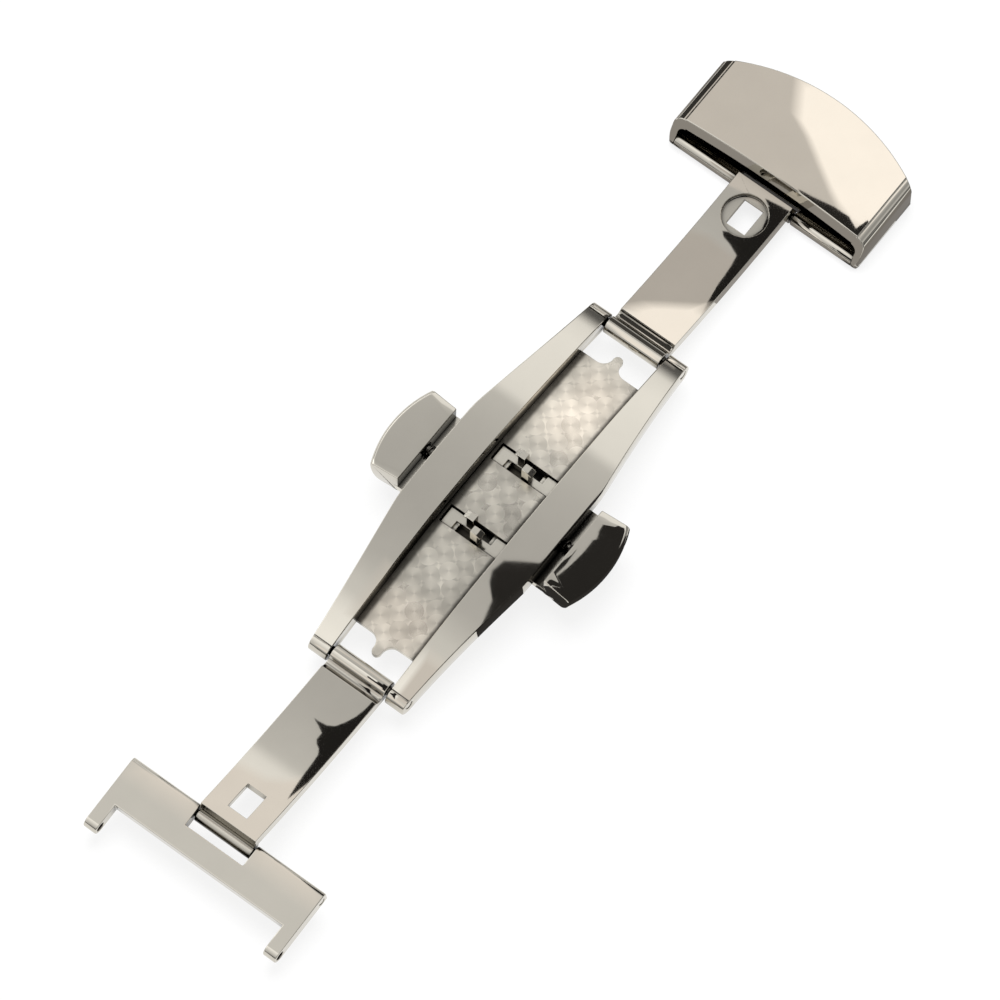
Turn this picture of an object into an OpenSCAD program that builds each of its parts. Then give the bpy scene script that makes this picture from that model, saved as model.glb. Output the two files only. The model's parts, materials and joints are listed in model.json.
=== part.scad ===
/* [Housing] */
// Radius of the curve of the rails' top
arc_r = 90; // [75:1:120]
// Distance from the middle to each main hinge axis
hinge_x = 19.5; // [19:0.1:22]
// Depth of the main hinge axes below the rails' top
hinge_depth = 0.75; // [0.7:0.05:0.95]
// Half width over the rails along the middle stretch
rail_half_w = 6.9; // [6.6:0.1:7.4]
// Half width over the rails at the tips
tip_half_w = 5.1; // [4.9:0.1:5.8]
// Half length of the wide middle stretch of the rails
waist_x = 5.4; // [5:0.1:6.5]
// How strongly the rails' outer edges curve in towards the tips
edge_curve = 1.25; // [1:0.05:1.5]
// Thickness of the rails
rail_t = 1.9; // [1.7:0.05:2.2]
// Half width of the slot between the rails in the middle
slot_half_w = 3.38; // [3.3:0.02:3.6]
// Half width of the slot between the rails at the tips
slot_tip_half_w = 3.18; // [3:0.02:3.28]
// How far the web under the rails stands in from their outer edge
web_inset = 1; // [0.8:0.1:1.4]
// Half length of the web that joins the rails
web_x = 14.8; // [13.5:0.1:15.2]
// Thickness of the web outside the mechanism
web_t = 0.4; // [0.35:0.05:0.6]

/* [Floor plate] */
// Radius of the curve of the floor plate, which is flatter than the rails
floor_r = 130; // [115:1:160]
// Depth of the floor plate's top below the rails' top, in the middle
floor_depth = 1.8; // [1.75:0.05:1.9]
// Thickness of the floor plate
floor_t = 0.45; // [0.35:0.05:0.6]
// Distance from the middle to the floor plate's ends
floor_x = 16; // [15.5:0.1:16.2]
// How far the small tab stands out of each end
tab_out = 1.6; // [1.2:0.1:1.7]
// Width of the small tab
tab_w = 0.9; // [0.7:0.1:1.2]
// Radius of the hollow corner on each side of the tab
tab_fillet_r = 1; // [0.5:0.1:1.1]
// Distance from the middle to the centre of each window
window_x = 3.65; // [3.5:0.05:3.75]
// Width of a window along the clasp
window_w = 1.85; // [1.8:0.05:2]
// Half length of a window across the clasp
window_half_y = 3.1; // [3.05:0.05:3.2]

/* [Arms] */
// Thickness of the two folding arms
arm_t = 1.2; // [1.1:0.05:1.25]
// Gap between an arm and the rail beside it at the tips
arm_side_gap = 0.24; // [0.15:0.01:0.35]
// Angle that the cap's arm turns from folded to open
cap_arm_turn = 177.2; // [165:0.1:179]
// Angle that the end plate's arm turns from folded to open
plate_arm_turn = 168.4; // [160:0.1:179]
// Radius of the arms' main hinge knuckles
knuckle_r = 0.85; // [0.8:0.05:0.9]
// Radius of the main hinge pins
hinge_pin_r = 0.42; // [0.36:0.02:0.44]
// Radius of the knuckles and tubes at the arms' far ends
end_tube_r = 0.65; // [0.6:0.05:0.7]
// Radius of the cap pin and the end plate pin
end_pin_r = 0.35; // [0.3:0.02:0.38]
// Height of the far knuckle axes over the rails' top when folded
end_axis_h = 0.76; // [0.75:0.01:0.9]
// Distance of the cap's knuckle axis from the middle when folded
cap_knuckle_x = 0.6; // [0.55:0.05:0.8]
// Distance of the end plate's knuckle axis from the middle when folded
plate_knuckle_x = 1; // [0.95:0.05:1.2]
// Length of each arm's catch hole along the arm
catch_hole_l = 2.8; // [2.6:0.1:3]
// Width of each arm's catch hole
catch_hole_w = 2; // [1.9:0.05:2.1]
// Radius of the round recess about each catch hole
recess_r = 2.35; // [2.2:0.05:2.5]
// Depth of the recess that the hook heads lie in
recess_depth = 0.45; // [0.4:0.05:0.5]
// Radius of the cap arm's second recess, on its inner face
inner_recess_r = 2.1; // [2:0.05:2.3]
// Depth of the cap arm's second recess
inner_recess_depth = 0.4; // [0.3:0.05:0.5]

/* [Catch] */
// Length of a push button along the clasp, at its outer corners
button_l = 8.8; // [8.2:0.1:9.4]
// Gap between the rail and a button at rest
button_gap = 0.95; // [0.85:0.05:1.1]
// Depth of a button from its inner face to its rounded outer edge
button_d = 3.8; // [3.6:0.1:4.4]
// How far a button's outer edge bows out between its corners
button_bow = 0.95; // [0.7:0.05:1.2]
// Height of a push button
button_h = 2.5; // [2.5:0.1:2.8]
// Depth of a button's top below the rails' top
button_depth = 0.5; // [0.4:0.05:0.55]
// How far a button travels
button_travel = 0.7; // [0.6:0.05:0.75]
// Thickness of a slide under the floor plate
slide_t = 0.7; // [0.6:0.05:0.9]
// Length of a slide along the clasp
slide_l = 8.4; // [8:0.1:8.6]
// Gap between a slide's blocks and the edges of their windows
window_gap = 0.12; // [0.05:0.01:0.16]
// Distance that a hook reaches over the edge of its catch hole
hook_reach = 0.25; // [0.15:0.05:0.35]
// Radius of a guide pin
guide_r = 0.3; // [0.26:0.02:0.32]
// Depth of the guide pins' axes below the rails' top
guide_depth = 1.33; // [1.3:0.01:1.36]
// Radius of a button spring's wire
wire_r = 0.08; // [0.06:0.01:0.09]
// Turns in a button spring
spring_turns = 5; // [4:1:6]
// Thickness of the base cover in the middle
cover_t = 0.7; // [0.6:0.05:0.9]
// Half length of the base cover
cover_x = 8; // [7.6:0.1:8.6]
// Radius of the rivets that hold the base cover
rivet_r = 0.4; // [0.3:0.05:0.5]

/* [Cap] */
// Half width of the cap
cap_half_w = 10.35; // [10:0.05:11]
// Height of the cap
cap_h = 4.2; // [4:0.1:4.6]
// Distance from the cap pin to the cap's rear corners
cap_side_l = 7.4; // [7:0.1:8]
// How far the cap's rear edge bows out between its corners
cap_bow = 2.7; // [2.5:0.1:3.3]
// Distance that the cap's top edge stands back from the cap pin
cap_set_back = 0.85; // [0.8:0.05:1.2]
// Wall of the cap
cap_wall = 0.7; // [0.5:0.05:0.8]
// Thickness of the cap's top
cap_top_t = 1; // [0.7:0.05:1.2]
// Radius along the cap's upper side edges
cap_edge_r = 1; // [0.8:0.1:1.4]
// Radius of the cap's front corners and lower edges
cap_corner_r = 0.6; // [0.3:0.1:0.6]
// Drop of the cap's crowned top from the middle to its sides
cap_crown = 0.5; // [0.3:0.05:0.6]
// Length of the cap's base plate behind the cap pin
base_l = 7; // [6.6:0.1:7.4]
// Thickness of the cap's base plate
base_t = 0.9; // [0.8:0.05:1]
// Distance from the cap pin to the strap peg
peg_x = 4.8; // [4.5:0.1:5]
// Radius of the strap peg
peg_r = 0.75; // [0.6:0.05:0.9]

/* [End plate] */
// Half width of the end plate, over its prongs
plate_half_w = 10.3; // [10:0.05:10.8]
// Distance from the plate pin to the plate's edge on the hinge side
plate_front = 0.7; // [0.65:0.05:0.75]
// Distance from the plate pin to the plate's edge on the strap side
plate_back = 3.7; // [3.4:0.1:4]
// Distance from the plate pin to the strap bar's bore
bar_x = 5.85; // [5.6:0.1:6.4]
// Radius of the strap bar's bore
bar_r = 0.45; // [0.4:0.05:0.5]
// Gap between the prongs for the strap's end
strap_gap = 17.96; // [17.6:0.02:18.4]
// Thickness of the end plate
plate_t = 1.45; // [1.4:0.05:1.6]
// Radius along the end plate's upper edge on the hinge side
plate_edge_r = 0.45; // [0.2:0.05:0.6]
// Distance from the plate pin to the end of the notch that the arm stands in
plate_notch_x = 1.55; // [1.2:0.05:1.8]
// Droop of the end plate when the clasp is open
plate_droop = 8; // [0:0.5:12]

/* [Hidden] */
$fn = 64;
// clearance of a pin that turns or slides in its bore, on the radius
run_gap = 0.03;
// clearance of a slide against the plates that guide it
slide_gap = 0.05;
// overshoot of a cut past the face that it opens
cut = 1;
slide_top = floor_depth + floor_t + slide_gap;
// depth of the slides' outer part, in the buttons and under the rails
slide_outer_top = rail_t + 0.15;
slide_outer_bottom = slide_outer_top + slide_t;
slide_bottom = slide_top + slide_t;
cover_top = slide_bottom + slide_gap;
// height of the rails' top in the middle, over the flat underside
rise = cover_top + cover_t;
arc_cz = rise - arc_r;
floor_cz = rise - floor_r;
floor_bottom = floor_depth + floor_t;
hinge_z = arc_cz + sqrt((arc_r - hinge_depth) ^ 2 - hinge_x ^ 2);
tip_r = rail_t / 2;
tip_z = arc_cz + sqrt((arc_r - tip_r) ^ 2 - hinge_x ^ 2);
arm_half_w = slot_tip_half_w - arm_side_gap;
cap_knuckle = [cap_knuckle_x, rise + end_axis_h];
plate_knuckle = [-plate_knuckle_x, rise + end_axis_h];
// a point of the side view, turned by t degrees about the centre c
function turned(p, c, t) = [
    c[0] + (p[0] - c[0]) * cos(t) + (p[1] - c[1]) * sin(t),
    c[1] - (p[0] - c[0]) * sin(t) + (p[1] - c[1]) * cos(t)];
cap_axis = turned(cap_knuckle, [hinge_x, hinge_z], cap_arm_turn);
plate_axis = turned(plate_knuckle, [-hinge_x, hinge_z], -plate_arm_turn);
// half width of the rails at a distance x from the middle, with a softened shoulder
outline_end = hinge_x + tip_r;
shoulder = 0.5;
function past_waist(x) = (x - waist_x + sqrt((x - waist_x) ^ 2 + shoulder ^ 2)) / 2;
function outline_y(x) = tip_half_w + (rail_half_w - tip_half_w)
    * pow(1 - min(1, past_waist(x) / past_waist(outline_end)), edge_curve);
outline_steps = 22;
outline_x = [for (i = [0 : outline_steps]) outline_end * i / outline_steps];
button_in = outline_y(0) + button_gap;
button_out = button_in + button_d;
button_bow_r = ((button_l / 2) ^ 2 + button_bow ^ 2) / (2 * button_bow);
button_top = rise - button_depth;
// clearance of a spring about its guide pin and in its pocket
coil_gap = 0.05;
spring_r = guide_r + wire_r + coil_gap;
pocket_r = spring_r + wire_r + coil_gap;
spring_in_button = 1.5;
pocket_d = spring_in_button + button_travel + slide_gap;
guide_z = rise - guide_depth;
guide_in_rail = 1.55;
guide_in_button = 0.8;
// how deep a slide's outer edge is set in its button
slide_in_button = 0.6;
slide_outer_y = button_in + slide_in_button;
slide_step_y = slot_half_w + button_travel + 0.5;
slide_inner_y = button_travel + 0.8;
lane_gap = 0.03;
block_w = window_w - 2 * window_gap;
// how far the blocks lie below the floor plate's top, and in from the slide's end
block_depth = 0.25;
block_in = 0.35;
// half length of the way that the slides run in, under the rails
channel_x = window_x + window_w / 2 + slide_gap;
hook_top = 0.1;
hook_under = recess_depth - slide_gap + 0.02;
// length of an arm's neck, which carries its far knuckle
neck_w = end_tube_r;
// gap between the neck and the cap's base plate
neck_gap = 0.2;
cap_bottom = -end_tube_r;
cap_top = cap_bottom + cap_h;
cap_bow_r = (cap_half_w ^ 2 + cap_bow ^ 2) / (2 * cap_bow);
cap_crown_r = (cap_half_w ^ 2 + cap_crown ^ 2) / (2 * cap_crown);
lip_half_w = cap_half_w - cap_wall;
// gap between an arm and the sides of the notch that it stands in
notch_gap = 0.15;
notch_half_w = arm_half_w + notch_gap;
base_top = cap_bottom + base_t;
// radius of the strap peg's foot, which is riveted in the base plate
peg_foot_r = 0.6 * peg_r;
plate_bottom = -end_tube_r + 0.05;
plate_top = plate_bottom + plate_t;
prong_w = plate_half_w - strap_gap / 2;
bar_z = (plate_bottom + plate_top) / 2;
steel = "#b8b2a5";
bright_steel = "#cfcabd";
dull_steel = "#c3bfb6";

// stretches a side view shape across the clasp, w wide in all
module across(w) {
    rotate([90, 0, 0]) linear_extrude(w, center = true) children();
}

// round rod or bore across the clasp at [x, z]
module rod(p, r, w) {
    translate([p[0], 0, p[1]]) rotate([90, 0, 0])
        cylinder(h = w, r = r, center = true, $fn = r > 10 ? 720 : 64);
}

// layer between two depths below the curve of the rails' top, w wide in all
module arc_layer(top, bottom, w) {
    difference() {
        rod([0, arc_cz], arc_r - top, w);
        rod([0, arc_cz], arc_r - bottom, w + cut);
    }
}

// layer between two depths on the floor plate's flatter curve
module floor_layer(top, bottom, w) {
    difference() {
        rod([0, floor_cz], floor_r - top, w);
        rod([0, floor_cz], floor_r - bottom, w + cut);
    }
}

// keeps what lies over a plan view shape
module within_plan() {
    intersection() {
        children(0);
        linear_extrude(4 * rise, center = true) children(1);
    }
}

module box(x0, x1, y0, y1, z0, z1) {
    translate([x0, y0, z0]) cube([x1 - x0, y1 - y0, z1 - z0]);
}

// plan of the rails, drawn in from their outer edge by inset
module rail_plan(inset, half_l) {
    inner = [for (x = outline_x) if (x < half_l) x];
    one_side = concat([for (i = [len(inner) - 1 : -1 : 1]) -inner[i]], inner);
    xs = concat([-half_l], one_side, [half_l]);
    upper = [for (x = xs) [x, outline_y(abs(x)) - inset]];
    polygon(concat(upper, [for (i = [len(xs) - 1 : -1 : 0]) [upper[i][0], -upper[i][1]]]));
}

// plan of the slot between the rails, wider or narrower by grow
module slot_plan(half_l, grow) {
    tip = slot_tip_half_w + grow;
    mid = slot_half_w + grow;
    e = outline_end;
    intersection() {
        polygon([[-e, -tip], [-waist_x, -mid], [waist_x, -mid], [e, -tip],
            [e, tip], [waist_x, mid], [-waist_x, mid], [-e, tip]]);
        square([2 * half_l, 4 * mid], center = true);
    }
}

// the rails' side view: a curved bar with full round tips
module rail_bar() {
    difference() {
        arc_layer(0, rail_t, 2 * rail_half_w);
        for (s = [-1, 1])
            translate([s * (hinge_x + rail_half_w), 0, 0])
                cube([2 * rail_half_w, 3 * rail_half_w, 8 * rise], center = true);
    }
    for (s = [-1, 1]) rod([s * hinge_x, tip_z], tip_r, 2 * rail_half_w);
}

// overlap that joins the web to the rails
web_joint = 0.2;

module housing() {
    color(steel) difference() {
        union() {
            within_plan() {
                rail_bar();
                rail_plan(0, outline_end);
            }
            within_plan() {
                difference() {
                    rod([0, arc_cz], arc_r - rail_t + web_joint, 2 * rail_half_w);
                    rod([0, floor_cz], floor_r - floor_bottom - web_t, 3 * rail_half_w);
                }
                rail_plan(web_inset, web_x);
            }
            within_plan() {
                arc_layer(rail_t - web_joint, cover_top, 2 * rail_half_w);
                rail_plan(web_inset, cover_x);
            }
        }
        within_plan() {
            floor_layer(-2 * cut, floor_bottom, 3 * slot_half_w);
            slot_plan(outline_end + cut, 0);
        }
        linear_extrude(4 * rise, center = true) difference() {
            slot_plan(outline_end + cut, 0);
            square([2 * web_x, 4 * slot_half_w], center = true);
        }
        within_plan() {
            arc_layer(rail_t, cover_top + cut, 3 * rail_half_w);
            square([2 * channel_x, 3 * rail_half_w], center = true);
        }
        for (s = [-1, 1]) {
            rod([s * hinge_x, hinge_z], hinge_pin_r, 3 * tip_half_w);
            translate([0, s * (outline_y(0) - guide_in_rail - button_travel - slide_gap), guide_z])
                rotate([-s * 90, 0, 0]) cylinder(h = 3 * guide_in_rail, r = guide_r + run_gap);
        }
        rivet_places() cylinder(h = rise - rivet_depth, r = rivet_r);
    }
}

// how far the rivets' ends lie under the floor plate
rivet_end_gap = 0.3;
rivet_depth = floor_bottom + rivet_end_gap;
rivet_x = (cover_x + channel_x) / 2;
// distance of the rivets from the cover's edge
rivet_inset = 1.3;
rivet_y = rail_half_w - web_inset - rivet_inset;

module rivet_places() {
    for (x = [-1, 1], y = [-1, 1]) translate([x * rivet_x, y * rivet_y, 0]) children();
}

module cover_rivets() {
    color(bright_steel) rivet_places() cylinder(h = rise - rivet_depth, r = rivet_r);
}

// how far the tab stands off the middle line
tab_y = 0.15;

// plan of the small tab at the floor plate's +X end, with its hollow corners
module floor_tab() {
    tip_x = floor_x + tab_out - tab_w / 2;
    translate([floor_x - cut, tab_y - tab_w / 2]) square([tip_x - floor_x + cut, tab_w]);
    translate([tip_x, tab_y]) circle(tab_w / 2);
    for (s = [-1, 1]) translate([floor_x, tab_y + s * (tab_w + tab_fillet_r) / 2]) difference() {
        translate([-cut, -tab_fillet_r / 2]) square([tab_fillet_r + cut, tab_fillet_r]);
        translate([tab_fillet_r, s * tab_fillet_r / 2]) circle(tab_fillet_r);
    }
}

module floor_plate() {
    color(dull_steel) within_plan() {
        floor_layer(floor_depth, floor_bottom, 3 * slot_half_w);
        difference() {
            intersection() {
                slot_plan(floor_x + tab_out, 0);
                union() {
                    square([2 * floor_x, 3 * slot_half_w], center = true);
                    floor_tab();
                    mirror([1, 0]) floor_tab();
                }
            }
            for (s = [-1, 1])
                translate([s * window_x, 0]) square([window_w, 2 * window_half_y], center = true);
        }
    }
}

module base_cover() {
    color(steel) difference() {
        intersection() {
            linear_extrude(rise) rail_plan(web_inset, cover_x);
            rod([0, arc_cz], arc_r - cover_top, 2 * rail_half_w);
        }
        translate([0, 0, -cut]) rivet_places() cylinder(h = rise, r = rivet_r);
    }
}

module hinge_pin(s) {
    rod([s * hinge_x, hinge_z], hinge_pin_r, 2 * outline_y(hinge_x) - 0.1);
}

module hinge_pin_a() {
    color(bright_steel) hinge_pin(1);
}

module hinge_pin_b() {
    color(bright_steel) hinge_pin(-1);
}

// groove on each arm's inner face, behind the main knuckle
groove_r = 0.55;
groove_x = hinge_x - knuckle_r - 0.45;
// how far the groove's centre lies outside the arm
groove_out = 0.15;

// A folded arm on the +X side, with its far knuckle at x = far_x.
// Its outer face lies level with the rails' top.
module folded_arm(far_x, second_recess) {
    hole_x = window_x;
    axis = [far_x, rise + end_axis_h];
    difference() {
        union() {
            intersection() {
                arc_layer(0, arm_t, 2 * arm_half_w);
                box(far_x - 0.05, hinge_x, -arm_half_w, arm_half_w, -9 * rise, 9 * rise);
            }
            rod([hinge_x, hinge_z], knuckle_r, 2 * arm_half_w);
            rod(axis, end_tube_r, 2 * arm_half_w);
            intersection() {
                arc_layer(-end_axis_h, arm_t, 2 * arm_half_w);
                box(far_x - 0.05, far_x + neck_w, -arm_half_w, arm_half_w, -9 * rise, axis[1]);
            }
        }
        rod([hinge_x, hinge_z], hinge_pin_r + run_gap, 3 * arm_half_w);
        rod(axis, end_pin_r + run_gap, 3 * arm_half_w);
        rod([groove_x, arc_cz + sqrt((arc_r - arm_t - groove_out) ^ 2 - groove_x ^ 2)],
            groove_r, 3 * arm_half_w);
        translate([hole_x, 0, rise]) cube([catch_hole_l, catch_hole_w, 4 * arm_t], center = true);
        translate([hole_x, 0, rise]) intersection() {
            cylinder(h = 4 * arm_t, r = recess_r, center = true);
            translate([-hole_x, 0, -rise]) arc_layer(-cut, recess_depth, 3 * arm_half_w);
        }
        if (second_recess) {
            translate([hole_x, 0, rise]) intersection() {
                cylinder(h = 6 * arm_t, r = inner_recess_r, center = true);
                translate([-hole_x, 0, -rise])
                    arc_layer(arm_t - inner_recess_depth, arm_t + cut, 3 * arm_half_w);
            }
        }
    }
}

module arm_a() {
    color(steel) translate([hinge_x, 0, hinge_z]) rotate([0, cap_arm_turn, 0])
        translate([-hinge_x, 0, -hinge_z]) folded_arm(cap_knuckle_x, true);
}

module arm_b() {
    color(steel) translate([-hinge_x, 0, hinge_z]) rotate([0, -plate_arm_turn, 0])
        translate([hinge_x, 0, -hinge_z]) mirror([1, 0, 0]) folded_arm(plate_knuckle_x, false);
}

// hook of a slide in the (y, z) view, with a ramped head that reaches outwards
module hook(x0, x1) {
    tip_y = catch_hole_w / 2 + hook_reach;
    back_y = 0.15;
    stem_y = catch_hole_w / 2 - 0.1;
    tip_h = 0.08;
    translate([x0, 0, rise]) rotate([90, 0, 90]) linear_extrude(x1 - x0) polygon([
        [back_y, -slide_top], [stem_y, -slide_top], [stem_y, -hook_under], [tip_y, -hook_under],
        [tip_y, -hook_under + tip_h], [stem_y - 0.1, -hook_top], [back_y, -hook_top]]);
}

// the slide of the button on the +Y side
module slide() {
    raised = floor_depth + block_depth;
    within_plan() {
        arc_layer(slide_outer_top, slide_outer_bottom, 4 * button_out);
        translate([-slide_l / 2, slide_step_y]) square([slide_l, slide_outer_y - slide_step_y]);
    }
    within_plan() {
        arc_layer(slide_top, slide_bottom, 4 * button_out);
        translate([-window_x - block_w / 2, slide_inner_y])
            square([2 * window_x + block_w, slide_step_y + 0.1 - slide_inner_y]);
    }
    for (s = [-1, 1]) {
        lane = s * window_x + lane_gap;
        lane_end = s * window_x + block_w / 2;
        within_plan() {
            arc_layer(raised, slide_bottom, 4 * button_out);
            translate([lane, 0.1]) square([lane_end - lane, slide_inner_y + block_in + 0.1]);
        }
        within_plan() {
            arc_layer(raised, slide_top + 0.1, 4 * button_out);
            translate([s * window_x - block_w / 2, slide_inner_y + block_in])
                square([block_w, window_half_y - window_gap - slide_inner_y - block_in]);
        }
        hook(lane + 0.05, lane_end);
    }
}

module slide_left() {
    color(bright_steel) slide();
}

module slide_right() {
    color(bright_steel) rotate([0, 0, 180]) slide();
}

// push button on the +Y side: a bowed slab with a rounded outer edge
module button() {
    r = button_bow_r;
    h = button_h;
    // how far each side splays from the inner to the outer corner
    splay = 0.22;
    x0 = button_l / 2 - splay;
    reach = button_d + cut;
    x1 = x0 + splay * reach / (button_d - button_bow);
    // the rounded edge, as distances in from the outer edge and heights
    under_r = 0.9;
    edge_r = 0.45;
    mid_h = h - edge_r - 0.05;
    edge = concat([for (a = [0 : 15 : 90]) [under_r * (1 - sin(a)), mid_h * (1 - cos(a))]],
        [for (a = [15 : 15 : 90]) [edge_r * (1 - cos(a)), mid_h + edge_r * sin(a)]], [[3, h]]);
    difference() {
        intersection() {
            translate([0, button_out - r, button_top - h]) rotate_extrude($fn = 128)
                polygon(concat([[0, 0]], [for (e = edge) [r - e[0], e[1]]], [[0, h]]));
            translate([0, 0, button_top - h / 2]) linear_extrude(2 * h, center = true)
                polygon([[-x0, button_in], [x0, button_in],
                    [x1, button_in + reach], [-x1, button_in + reach]]);
        }
        translate([0, button_in - cut, guide_z])
            rotate([-90, 0, 0]) cylinder(h = pocket_d + cut, r = pocket_r);
        translate([0, button_in, guide_z])
            rotate([-90, 0, 0]) cylinder(h = pocket_d + guide_in_button, r = guide_r);
        within_plan() {
            arc_layer(slide_outer_top, slide_outer_bottom, 4 * button_out);
            translate([-slide_l / 2, 0]) square([slide_l, slide_outer_y]);
        }
    }
}

module button_left() {
    color(steel) button();
}

module button_right() {
    color(steel) rotate([0, 0, 180]) button();
}

module guide_pin() {
    start = outline_y(0) - guide_in_rail;
    translate([0, start, guide_z]) rotate([-90, 0, 0])
        cylinder(h = button_in + pocket_d + guide_in_button - start, r = guide_r);
}

module guide_pin_left() {
    color(bright_steel) guide_pin();
}

module guide_pin_right() {
    color(bright_steel) rotate([0, 0, 180]) guide_pin();
}

// A coil about the guide pin, as one tube swept round a helix along Y.
module spring() {
    per_turn = 16;
    sides = 6;
    y0 = outline_y(0) + wire_r;
    y1 = button_in + spring_in_button - wire_r;
    rings = per_turn * spring_turns;
    pitch = (y1 - y0) / spring_turns;
    points = [for (i = [0 : rings], k = [0 : sides - 1])
        let (a = 360 * i / per_turn, b = 360 * k / sides, rad = spring_r + wire_r * cos(b))
        [rad * cos(a), y0 + pitch * i / per_turn + wire_r * sin(b), guide_z + rad * sin(a)]];
    walls = [for (i = [0 : rings - 1], k = [0 : sides - 1])
        let (p = i * sides + k, q = i * sides + (k + 1) % sides)
        each [[p, q, q + sides], [p, q + sides, p + sides]]];
    last = rings * sides;
    ends = [for (k = [1 : sides - 2]) each [[0, k + 1, k], [last, last + k, last + k + 1]]];
    polyhedron(points, concat(walls, ends), convexity = 4);
    echo(least_coil_gap_mm = pitch - 2 * wire_r);
}

module spring_left() {
    color(bright_steel) spring();
}

module spring_right() {
    color(bright_steel) rotate([0, 0, 180]) spring();
}

// plan of the cap, drawn in by inset, from x = front backwards
module cap_plan(inset, front) {
    intersection() {
        translate([cap_side_l + cap_bow - cap_bow_r, 0]) circle(cap_bow_r - inset, $fn = 200);
        translate([front, -cap_half_w + inset])
            square([cap_side_l + cap_bow - front, 2 * (cap_half_w - inset)]);
    }
}

// plan of the cap's outside, with its front corners rounded
module cap_outline() {
    r = cap_corner_r;
    front = -end_tube_r;
    intersection() {
        cap_plan(0, front);
        union() {
            translate([front + r, -cap_half_w])
                square([cap_side_l + cap_bow - front - r, 2 * cap_half_w]);
            translate([front, r - cap_half_w]) square([2 * r, 2 * (cap_half_w - r)]);
            for (s = [-1, 1]) translate([front + r, s * (cap_half_w - r)]) circle(r);
        }
    }
}

// the cap's view from the front, crowned on top and rounded at both upper edges
module cap_front_view(inset, top_inset) {
    w = cap_half_w - inset;
    top = cap_top - top_inset;
    r = cap_edge_r - inset / 2;
    intersection() {
        translate([0, top - cap_crown_r]) circle(cap_crown_r, $fn = 240);
        union() {
            translate([-w, cap_bottom - cut])
                square([2 * w, top - cap_crown - r - cap_bottom + cut]);
            translate([r - w, 0]) square([2 * (w - r), cap_top]);
            for (s = [-1, 1]) translate([s * (w - r), top - cap_crown - r]) circle(r);
        }
    }
}

// the same view of the cap's outside, with its lower edges rounded
module cap_outer_view() {
    r = cap_corner_r;
    intersection() {
        cap_front_view(0, 0);
        union() {
            translate([-cap_half_w, cap_bottom + r]) square([2 * cap_half_w, cap_h]);
            translate([r - cap_half_w, cap_bottom]) square([2 * (cap_half_w - r), cap_h]);
            for (s = [-1, 1]) translate([s * (cap_half_w - r), cap_bottom + r]) circle(r);
        }
    }
}

module cap_cover() {
    depth = cap_side_l + cap_bow;
    color(steel) translate([cap_axis[0], 0, cap_axis[1]]) difference() {
        intersection() {
            linear_extrude(2 * (cap_h + cut), center = true) cap_outline();
            translate([-cut - end_tube_r, 0, 0]) rotate([90, 0, 90])
                linear_extrude(depth + 2 * end_tube_r + 2 * cut) cap_outer_view();
            union() {
                across(2 * cap_half_w) polygon([[0, cap_bottom], [depth, cap_bottom],
                    [depth, cap_top], [cap_set_back, cap_top], [-end_tube_r, 0.1], [0, 0]]);
                rod([0, 0], end_tube_r, 2 * cap_half_w);
            }
        }
        intersection() {
            translate([0, 0, cap_bottom - cut]) linear_extrude(cap_h + cut)
                cap_plan(cap_wall, -3 * end_tube_r);
            translate([-3 * end_tube_r - cut, 0, 0]) rotate([90, 0, 90])
                linear_extrude(2 * depth) cap_front_view(cap_wall, cap_top_t);
        }
    }
}

module cap_base() {
    color(steel) translate([cap_axis[0], 0, cap_axis[1]]) difference() {
        union() {
            rod([0, 0], end_tube_r, 2 * lip_half_w);
            box(0, base_l, -lip_half_w, lip_half_w, cap_bottom, base_top);
        }
        box(-3 * end_tube_r, neck_w + neck_gap, -notch_half_w, notch_half_w, -cap_h, cap_h);
        rod([0, 0], end_pin_r, 3 * cap_half_w);
        translate([peg_x, 0, cap_bottom - cut]) cylinder(h = base_t + 2 * cut, r = peg_foot_r);
    }
}

module cap_pin() {
    color(bright_steel) rod(cap_axis, end_pin_r, 2 * lip_half_w);
}

module strap_peg() {
    brim = peg_r + 0.35;
    neck_top = base_top + 1.4;
    brim_top = neck_top + 0.2;
    head_top = neck_top + 0.45;
    color(bright_steel) translate([cap_axis[0] + peg_x, 0, cap_axis[1]]) rotate_extrude() polygon([
        [0, cap_bottom], [peg_foot_r, cap_bottom], [peg_foot_r, base_top], [peg_r, base_top],
        [peg_r, neck_top], [brim, neck_top], [brim, brim_top], [peg_r, head_top], [0, head_top]]);
}

module end_plate() {
    bar_end = plate_t / 2;
    r = plate_edge_r;
    color(steel) translate([plate_axis[0], 0, plate_axis[1]]) rotate([0, -plate_droop, 0])
    difference() {
        union() {
            rod([0, 0], end_tube_r, 2 * plate_half_w);
            across(2 * plate_half_w) {
                translate([-plate_back, plate_bottom]) square([plate_back + plate_front - r, plate_t]);
                translate([0, plate_bottom]) square([plate_front, plate_t - r]);
                translate([plate_front - r, plate_top - r]) circle(r);
            }
            for (s = [-1, 1]) {
                translate([0, s * (plate_half_w - prong_w / 2), 0]) {
                    box(-bar_x, 0, -prong_w / 2, prong_w / 2, plate_bottom, plate_top);
                    rod([-bar_x, bar_z], bar_end, prong_w);
                }
            }
        }
        box(-plate_notch_x, 2 * plate_front, -notch_half_w, notch_half_w, -plate_t, 2 * plate_t);
        rod([0, 0], end_pin_r, 3 * plate_half_w);
        rod([-bar_x, bar_z], bar_r, 3 * plate_half_w);
    }
}

module plate_pin() {
    color(bright_steel) rod(plate_axis, end_pin_r, 2 * plate_half_w - 0.1);
}

housing();
floor_plate();
base_cover();
cover_rivets();
hinge_pin_a();
hinge_pin_b();
arm_a();
arm_b();
slide_left();
slide_right();
button_left();
button_right();
guide_pin_left();
guide_pin_right();
spring_left();
spring_right();
cap_cover();
cap_base();
cap_pin();
strap_peg();
end_plate();
plate_pin();
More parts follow.
